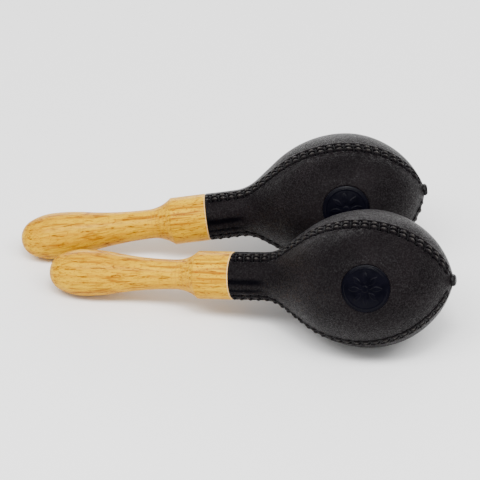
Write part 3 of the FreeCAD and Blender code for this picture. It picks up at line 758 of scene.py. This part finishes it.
def motif_height(reach, angle):
    """The raised ring, boss and rosette of the badge, over its face."""
    ring = smooth_step(RING_INNER - MOTIF_SOFTNESS, RING_INNER + MOTIF_SOFTNESS, reach)
    ring *= 1 - smooth_step(RING_OUTER - MOTIF_SOFTNESS, RING_OUTER + MOTIF_SOFTNESS, reach)
    boss = 1 - smooth_step(BOSS_RADIUS - MOTIF_SOFTNESS, BOSS_RADIUS + MOTIF_SOFTNESS, reach)
    turn = 2 * math.pi / PETALS
    local = (angle + turn / 2) % turn - turn / 2
    along, across = reach * np.cos(local), np.abs(reach * np.sin(local))
    middle, half = (PETAL_START + PETAL_END) / 2, (PETAL_END - PETAL_START) / 2
    outline = PETAL_WIDTH / 2 * np.clip(1 - ((along - middle) / half) ** 2, 0, 1)
    inside = outline - across
    petal = smooth_step(-MOTIF_SOFTNESS * 0.4, MOTIF_SOFTNESS * 1.4, inside)
    vein = VEIN_DEPTH * np.exp(-((across / VEIN_WIDTH) ** 2)) * smooth_step(0.2, 0.9, outline)
    return MOTIF_HEIGHT * np.maximum(np.maximum(ring, boss), petal * (1 - vein))


def build_badge(maraca, material):
    """The badge: a face that follows the head and carries the motif, a rounded rim and a plain back."""
    segments = BADGE_SEGMENTS
    rim_reaches = BADGE_RADIUS - RIM_STEPS
    reaches = np.concatenate([np.arange(0.2, rim_reaches[0], RING_STEP), rim_reaches])
    angles = np.linspace(0, 2 * math.pi, segments, endpoint=False)
    reach, angle = np.meshgrid(reaches, angles, indexing="ij")
    round_edge = np.clip((reach - BADGE_RADIUS + RIM_ROUND) / RIM_ROUND, 0, 1)
    height = -BADGE_SINK + motif_height(reach, angle) - RIM_DROP * (1 - np.sqrt(1 - round_edge**2))
    height += FACE_CROWN * (1 - (reach / BADGE_RADIUS) ** 2)

    def lifted(flat_x, flat_y, level):
        travel = HEAD.travel_at(maraca.badge_station + flat_x)
        _, radius = HEAD.at(travel)
        turn = -np.arcsin(flat_y / radius)
        return raised(travel, turn, level)

    top = lifted(reach * np.cos(angle), reach * np.sin(angle), height)
    rim = reaches[-1]
    low = lifted(rim * np.cos(angles), rim * np.sin(angles), np.full(segments, -RECESS_DEPTH))
    verts = np.concatenate([top.reshape(-1, 3), low])
    faces = [face[::-1] for face in grid_faces(len(reaches) + 1, segments)]
    middle = len(verts)
    centre = np.array([0.0])
    peak = lifted(centre, centre, np.array([-BADGE_SINK + MOTIF_HEIGHT + FACE_CROWN]))
    under = lifted(centre, centre, np.array([-RECESS_DEPTH]))
    verts = np.concatenate([verts, peak, under])
    last = len(reaches) * segments
    for j in range(segments):
        k = (j + 1) % segments
        faces.append((middle, j, k))
        faces.append((middle + 1, last + k, last + j))
    crease(maraca.piece("inset_badge", verts, faces, material, "badge", "badge"), 50)


PLUG_START = 270.0
BARB_RADIUS = 3.2
SHANK_RADIUS = 2.5
PLUG_EDGE = 0.35
PLUG_FULLNESS = 0.55
CROWN_SHARE = 0.18
DIMPLE_DEPTH = 0.25
DIMPLE_SHARE = 0.12
KNURLS = 7
KNURL_DEPTH = 0.045
PLUG_SEGMENTS = 84


def build_plug(maraca, material):
    """The plug's domed, knurled head, its shank and its barb."""
    brim = front_station(PLUG_RADIUS) + 0.05
    shoulder = brim + PLUG_EDGE
    barb = [PLUG_START + along for along in (0, 0, 2, 4.5, 5.6)]
    stations = barb + [brim - PLUG_EDGE, brim]
    radii = [0, 1.8, BARB_RADIUS, BARB_RADIUS, SHANK_RADIUS, SHANK_RADIUS, PLUG_RADIUS - 0.15]
    for lean in np.linspace(0, math.pi / 2, 15):
        fullness = max(math.cos(lean), 0) ** PLUG_FULLNESS
        stations.append(shoulder + (PLUG_END - shoulder) * math.sin(lean))
        radii.append(PLUG_RADIUS * (CROWN_SHARE + (1 - CROWN_SHARE) * fullness))
    radii[-1] = PLUG_RADIUS * CROWN_SHARE
    stations += [PLUG_END - DIMPLE_DEPTH, PLUG_END - DIMPLE_DEPTH]
    radii += [PLUG_RADIUS * DIMPLE_SHARE, 0]

    def knurl(station, radius, angle):
        on_head = smooth_step(brim + 0.1, brim + 0.5, station) * smooth_step(0.8, 3, radius)
        return radius * (1 + KNURL_DEPTH * on_head * np.cos(KNURLS * angle))

    verts, faces = lathe(np.array(stations), np.array(radii), PLUG_SEGMENTS, knurl)
    crease(maraca.piece("tip_plug", verts, faces, material, "plug", "end_plug"), 50)


# --------------------------------------------------------------------------------------------------
# Materials


class Nodes:
    """A material's node tree, with short calls for what its recipes repeat."""

    def __init__(self, name, matrix):
        self.inverse = matrix.inverted()
        self.material = bpy.data.materials.new(name)
        self.material.use_nodes = True
        self.tree = self.material.node_tree
        self.tree.nodes.clear()
        self.shader = self.add("ShaderNodeBsdfPrincipled")
        output = self.add("ShaderNodeOutputMaterial")
        self.link(self.shader.outputs["BSDF"], output.inputs["Surface"])

    def add(self, kind, **settings):
        node = self.tree.nodes.new(kind)
        for key, value in settings.items():
            setattr(node, key, value)
        return node

    def link(self, out, into):
        self.tree.links.new(out, into)

    def feed(self, socket, value):
        """Gives a socket another node's output or a constant."""
        if isinstance(value, bpy.types.NodeSocket):
            self.link(value, socket)
        else:
            socket.default_value = value

    def set(self, node, **values):
        for key, value in values.items():
            self.feed(node.inputs[key.replace("_", " ")], value)

    def place(self, scale=(1, 1, 1), shift=(0, 0, 0)):
        """Coordinates in the maraca's own frame in metres, scaled."""
        coordinates = self.add("ShaderNodeTexCoord")
        local = self.add("ShaderNodeMapping")
        rotation, location = self.inverse.to_euler(), self.inverse.translation
        self.set(local, Vector=coordinates.outputs["Object"], Rotation=rotation, Location=location)
        mapping = self.add("ShaderNodeMapping")
        self.set(mapping, Vector=local.outputs["Vector"], Scale=scale, Location=shift)
        return mapping.outputs["Vector"]

    def noise(self, vector, scale, detail=4.0, roughness=0.5):
        node = self.add("ShaderNodeTexNoise")
        self.set(node, Vector=vector, Scale=scale, Detail=detail, Roughness=roughness)
        return node.outputs["Fac"]

    def cell_edges(self, vector, scale):
        """The distance from the edges of irregular cells."""
        node = self.add("ShaderNodeTexVoronoi", feature="DISTANCE_TO_EDGE")
        self.set(node, Vector=vector, Scale=scale)
        return node.outputs["Distance"]

    def math(self, operation, first, second, clamp=False):
        node = self.add("ShaderNodeMath", operation=operation, use_clamp=clamp)
        self.feed(node.inputs[0], first)
        self.feed(node.inputs[1], second)
        return node.outputs["Value"]

    def span(self, value, low, high, to_low=0.0, to_high=1.0):
        """Maps a value's span to another, smoothly, and no further."""
        node = self.add("ShaderNodeMapRange", interpolation_type="SMOOTHSTEP")
        self.set(node, Value=value, From_Min=low, From_Max=high, To_Min=to_low, To_Max=to_high)
        return node.outputs["Result"]

    def mix(self, share, first, second):
        """A colour between two, each a colour or a socket."""
        node = self.add("ShaderNodeMix", data_type="RGBA")
        self.feed(node.inputs[0], share)
        for socket, colour in ((node.inputs[6], first), (node.inputs[7], second)):
            self.feed(socket, colour if isinstance(colour, bpy.types.NodeSocket) else (*colour, 1.0))
        return node.outputs[2]

    def bump(self, height, distance, strength=1.0, normal=None):
        node = self.add("ShaderNodeBump")
        self.set(node, Height=height, Distance=distance, Strength=strength)
        if normal is not None:
            self.link(normal, node.inputs["Normal"])
        return node.outputs["Normal"]


def leather_material(name, matrix, shift):
    """Black pebbled leather, dyed through, a little glossier on its high grain, with painted highlights on
    the seam crests and painted shade in creases, stitch pits and neck folds.
    """
    n = Nodes(name, matrix)
    place = n.place(shift=shift)
    warp = n.noise(place, 420, 2.0)
    cells = n.cell_edges(place, 1150)
    fine = n.noise(place, 3000, 3.0, 0.6)
    pebble = n.span(n.math("ADD", cells, n.math("MULTIPLY", warp, 0.12)), 0.02, 0.42)
    patches = n.noise(place, 45, 3.0, 0.55)
    slow = n.noise(place, 170, 4.0, 0.6)
    tone = n.span(patches, 0.32, 0.68)
    colour = n.mix(tone, (0.0046, 0.0032, 0.0038), (0.0082, 0.0060, 0.0068))
    wear_and_painted_light = n.add("ShaderNodeAttribute", attribute_name="wear_and_painted_light").outputs["Fac"]
    # Lighter where the attribute is above zero: painted highlights on the seam crests, partly rubbed wear,
    # and painted glints on the shoulder bumps.
    colour = n.mix(n.span(wear_and_painted_light, 0.0, 1.0), colour, (0.046, 0.042, 0.038))
    # Darker where it is below zero: painted shade in the crease, the rolled seam edge, the stitch pits and
    # the neck folds.
    colour = n.mix(n.span(wear_and_painted_light, 0.0, -0.9), colour, (0.0012, 0.0010, 0.0020))
    # Darker in the valleys between the pebbles: painted shade.
    colour = n.mix(pebble, n.mix(0.5, colour, (0.001, 0.001, 0.0015)), colour)
    rough = n.math("ADD", n.span(slow, 0.3, 0.7, 0.30, 0.40), n.math("MULTIPLY", pebble, -0.05))
    normal = n.bump(pebble, 0.00020, 0.9)
    normal = n.bump(fine, 0.00006, 0.5, normal)
    normal = n.bump(slow, 0.0008, 0.3, normal)
    n.set(n.shader, Base_Color=colour, Roughness=rough, Normal=normal)
    glints = n.span(n.noise(place, 950, 2.0, 0.6), 0.40, 0.64, 0.45, 1.85)
    # The shine falls where the attribute is below zero, so the painted shade darkens the reflections as
    # well.
    shine = n.math("MULTIPLY", n.span(wear_and_painted_light, -0.9, 0.0, 0.010, 0.055), glints)
    n.set(n.shader, Specular_IOR_Level=shine)
    return n.material


def thread_material(name, matrix):
    """Black waxed thread."""
    n = Nodes(name, matrix)
    place = n.place()
    fibre = n.noise(place, 3000, 3.0, 0.6)
    colour = n.mix(n.span(fibre, 0.3, 0.7), (0.0010, 0.0009, 0.0012), (0.0028, 0.0024, 0.0030))
    n.set(n.shader, Base_Color=colour, Roughness=n.span(fibre, 0.3, 0.7, 0.45, 0.6))
    n.set(n.shader, Normal=n.bump(fibre, 0.00008, 0.5))
    n.shader.inputs["Specular IOR Level"].default_value = 0.1
    return n.material


def wood_material(name, matrix, shift):
    """Blond ring-porous wood with the grain along the handle, under clear lacquer."""
    n = Nodes(name, matrix)
    parts = n.add("ShaderNodeSeparateXYZ")
    n.set(parts, Vector=n.place())
    station = parts.outputs["X"]
    bend = n.noise(n.place((6, 40, 40), shift), 1.0, 3.0)
    board = n.place((0.25, 1, 1), shift)
    growth = n.add("ShaderNodeTexWave", wave_type="BANDS", bands_direction="Y", wave_profile="SAW")
    n.set(growth, Vector=board, Scale=62.0, Distortion=6.5)
    n.set(growth, Detail=3.0, Detail_Scale=1.6, Detail_Roughness=0.55)
    early = n.span(growth.outputs["Fac"], 0.45, 0.95)
    broad = n.noise(n.place((9, 70, 70), shift), 1.0, 4.0, 0.55)
    streak = n.noise(n.place((18, 420, 420), shift), 1.0, 3.0, 0.6)
    fibre = n.noise(n.place((90, 1500, 1500), shift), 1.0, 3.0, 0.6)
    pores = n.noise(n.place((170, 850, 850), shift), 1.0, 2.0, 0.6)
    flecks = n.noise(n.place((420, 900, 900), shift), 1.0, 2.0, 0.6)
    in_early = n.span(early, 0.0, 1.0, 0.35, 1.0)
    pore = n.math("MULTIPLY", n.span(pores, 0.53, 0.64), in_early, clamp=True)
    on_collar = n.span(n.span(station, 0.104, 0.110), 0.0, 1.0, 0.5, 1.0)
    fleck = n.math("MULTIPLY", n.span(flecks, 0.57, 0.66), on_collar, clamp=True)
    colour = n.mix(n.span(broad, 0.3, 0.7), (0.70, 0.405, 0.0), (0.56, 0.29, 0.0))
    colour = n.mix(n.math("MULTIPLY", early, 0.6), colour, (0.45, 0.19, 0.0))
    colour = n.mix(n.span(fibre, 0.45, 0.75, 0.0, 0.45), colour, (0.37, 0.155, 0.0))
    colour = n.mix(n.span(streak, 0.50, 0.66, 0.0, 0.85), colour, (0.30, 0.105, 0.0))
    colour = n.mix(n.math("MULTIPLY", pore, 0.9), colour, (0.17, 0.05, 0.0))
    colour = n.mix(n.math("MULTIPLY", fleck, 0.9), colour, (0.30, 0.075, 0.0))

    # Fine turning rings in the hollow before the collar.
    rings = n.add("ShaderNodeTexWave", wave_type="BANDS", bands_direction="X", wave_profile="SIN")
    n.set(rings, Vector=n.place(), Scale=118.0, Distortion=1.2, Detail=1.0)
    hollow = n.math("MULTIPLY", n.span(station, 0.084, 0.094), n.span(station, 0.103, 0.107, 1.0, 0.0))
    ring = n.math("MULTIPLY", n.span(rings.outputs["Fac"], 0.55, 0.95), hollow, clamp=True)
    colour = n.mix(n.math("MULTIPLY", ring, 0.45), colour, (0.46, 0.22, 0.02))

    # The bevel at the leather is a little paler: a painted highlight along its edge.
    bevel_start = (COLLAR_END - 0.75) * MM
    painted_bevel_highlight = n.span(station, bevel_start, bevel_start + 0.3 * MM, 0.0, 0.5)
    past = n.span(station, COLLAR_END * MM, (COLLAR_END + 0.1) * MM, 1.0, 0.0)
    colour = n.mix(n.math("MULTIPLY", painted_bevel_highlight, past), colour, (0.95, 0.66, 0.34))

    rough = n.span(streak, 0.3, 0.7, 0.30, 0.40)
    normal = n.bump(n.math("SUBTRACT", 1.0, pore), 0.00012, 0.6)
    normal = n.bump(n.math("SUBTRACT", 1.0, ring), 0.00008, 0.6, normal)
    normal = n.bump(bend, 0.0004, 0.25, normal)
    n.set(n.shader, Base_Color=colour, Roughness=rough, Normal=normal)
    n.shader.inputs["Specular IOR Level"].default_value = 0.04
    n.shader.inputs["Coat Weight"].default_value = 0.03
    n.shader.inputs["Coat Roughness"].default_value = 0.15
    return n.material


def badge_material(name, matrix):
    """Glossy black moulding with faint moulding grain and fine scratches."""
    n = Nodes(name, matrix)
    place = n.place()
    cloud = n.noise(place, 160, 4.0, 0.6)
    scratch = n.noise(n.place((3000, 260, 260)), 1.0, 2.0, 0.7)
    colour = n.mix(n.span(cloud, 0.3, 0.7), (0.0008, 0.0008, 0.0024), (0.0018, 0.0017, 0.0040))
    n.set(n.shader, Base_Color=colour, Roughness=n.span(cloud, 0.3, 0.7, 0.16, 0.30))
    n.set(n.shader, Normal=n.bump(scratch, 0.00003, 0.5))
    n.shader.inputs["Specular IOR Level"].default_value = 0.04
    return n.material


def rubber_material(name, matrix):
    """Black rubber with a soft bloom."""
    n = Nodes(name, matrix)
    place = n.place()
    cloud = n.noise(place, 420, 4.0, 0.6)
    colour = n.mix(n.span(cloud, 0.3, 0.7), (0.0014, 0.0012, 0.0018), (0.0040, 0.0034, 0.0040))
    n.set(n.shader, Base_Color=colour, Roughness=n.span(cloud, 0.3, 0.7, 0.35, 0.55))
    n.set(n.shader, Normal=n.bump(cloud, 0.0003, 0.5))
    n.shader.inputs["Specular IOR Level"].default_value = 0.12
    return n.material


def steel_material(name, matrix):
    """Tumbled steel shot."""
    n = Nodes(name, matrix)
    place = n.place()
    cloud = n.noise(place, 900, 4.0, 0.6)
    colour = n.mix(n.span(cloud, 0.3, 0.7), (0.36, 0.36, 0.38), (0.56, 0.56, 0.57))
    n.set(n.shader, Base_Color=colour, Roughness=n.span(cloud, 0.3, 0.7, 0.28, 0.5))
    n.shader.inputs["Metallic"].default_value = 1.0
    n.set(n.shader, Normal=n.bump(cloud, 0.00005, 0.5))
    return n.material


def floor_material():
    """Smooth white studio paper."""
    n = Nodes("studio_floor", Matrix())
    place = n.place()
    tone = n.span(n.noise(place, 1.5, 2.0), 0.3, 0.7)
    n.set(n.shader, Base_Color=n.mix(tone, (0.93, 0.93, 0.93), (0.95, 0.95, 0.95)), Roughness=0.9)
    n.shader.inputs["Specular IOR Level"].default_value = 0.1
    return n.material


# --------------------------------------------------------------------------------------------------
# The pair


def build_maraca(name, seed, shift):
    """All the pieces of one maraca, whose leather and grain vary with the seed and the shift."""
    maraca = Maraca(name)
    generator = np.random.default_rng(seed)
    puffs = {seam: generator.uniform(*PUFF_SPREAD, len(STITCHES)) for seam in SEAMS}
    leather = leather_material(name + "_leather", maraca.matrix, shift)
    thread = thread_material(name + "_thread", maraca.matrix)
    build_handle(maraca, wood_material(name + "_wood", maraca.matrix, shift))
    for number, (panel, seams) in enumerate(PANEL_SEAMS.items()):
        build_panel(maraca, panel, seed + 10 + number, [puffs[seam] for seam in seams], leather)
    for seam in SEAMS:
        build_thread(maraca, seam, thread)
    build_badge(maraca, badge_material(name + "_badge_gloss", maraca.matrix))
    build_plug(maraca, rubber_material(name + "_rubber", maraca.matrix))
    shot = frame["nodes"][name + "_shot"]
    shot.data.materials.clear()
    shot.data.materials.append(steel_material(name + "_steel", maraca.matrix))
    return maraca


front = build_maraca("front", 3, (0.0, 0.0, 0.0))
build_maraca("rear", 8, (0.31, 0.013, 0.007))


# --------------------------------------------------------------------------------------------------
# Stage, light and camera


HALF_FLOOR = 6.0
LIGHT_TARGET = (0, 0, 0.03)
CAMERA_LEAN = math.radians(35.01)
CAMERA_DISTANCE = 2.003
CAMERA_LENS = 224.3
CAMERA_SENSOR = 36
HEAD_TO_TARGET = (-0.0848, 0.0452)
TARGET_HEIGHT = 0.045


def build_floor():
    half = HALF_FLOOR
    mesh = bpy.data.meshes.new("floor")
    corners = [(-half, -half, 0), (half, -half, 0), (half, half, 0), (-half, half, 0)]
    mesh.from_pydata(corners, [], [(0, 1, 2, 3)])
    mesh.materials.append(floor_material())
    floor = bpy.data.objects.new("floor", mesh)
    bpy.context.scene.collection.objects.link(floor)


def area_light(name, place, target, size, power):
    """A softbox at a place, facing a target: metres and watts."""
    data = bpy.data.lights.new(name, "AREA")
    data.shape = "RECTANGLE"
    data.size, data.size_y = size
    data.energy = power
    light = bpy.data.objects.new(name, data)
    bpy.context.scene.collection.objects.link(light)
    light.location = place
    light.rotation_euler = (Vector(target) - Vector(place)).to_track_quat("-Z", "Y").to_euler()


def build_world(strength):
    world = bpy.data.worlds.new("studio")
    bpy.context.scene.world = world
    world.use_nodes = True
    background = world.node_tree.nodes["Background"]
    background.inputs["Color"].default_value = (1.0, 1.0, 1.0, 1.0)
    background.inputs["Strength"].default_value = strength


def build_camera():
    """The camera looks along +Y from 35 degrees above the table, at a place beside the front head."""
    head = front.matrix @ Vector((HEAD_STATION * MM, 0, 0))
    target = Vector((head.x + HEAD_TO_TARGET[0], head.y + HEAD_TO_TARGET[1], TARGET_HEIGHT))
    data = bpy.data.cameras.new("camera")
    data.lens = CAMERA_LENS
    data.sensor_width = CAMERA_SENSOR
    data.clip_start, data.clip_end = 0.1, 50
    camera = bpy.data.objects.new("camera", data)
    bpy.context.scene.collection.objects.link(camera)
    backwards = Vector((0, -math.cos(CAMERA_LEAN), math.sin(CAMERA_LEAN)))
    camera.location = target + CAMERA_DISTANCE * backwards
    camera.rotation_euler = (math.pi / 2 - CAMERA_LEAN, 0, 0)
    bpy.context.scene.camera = camera


build_floor()
build_world(0.8)
area_light("behind", (0.0, 1.62, 0.42), LIGHT_TARGET, (1.8, 0.35), 23)
area_light("overhead_front", (0.0, -0.72, 1.64), LIGHT_TARGET, (2.8, 0.6), 68)
area_light("glint", (0.09, -0.74, 1.70), (0.09, -0.05, 0.045), (0.4, 0.3), 13)
build_camera()
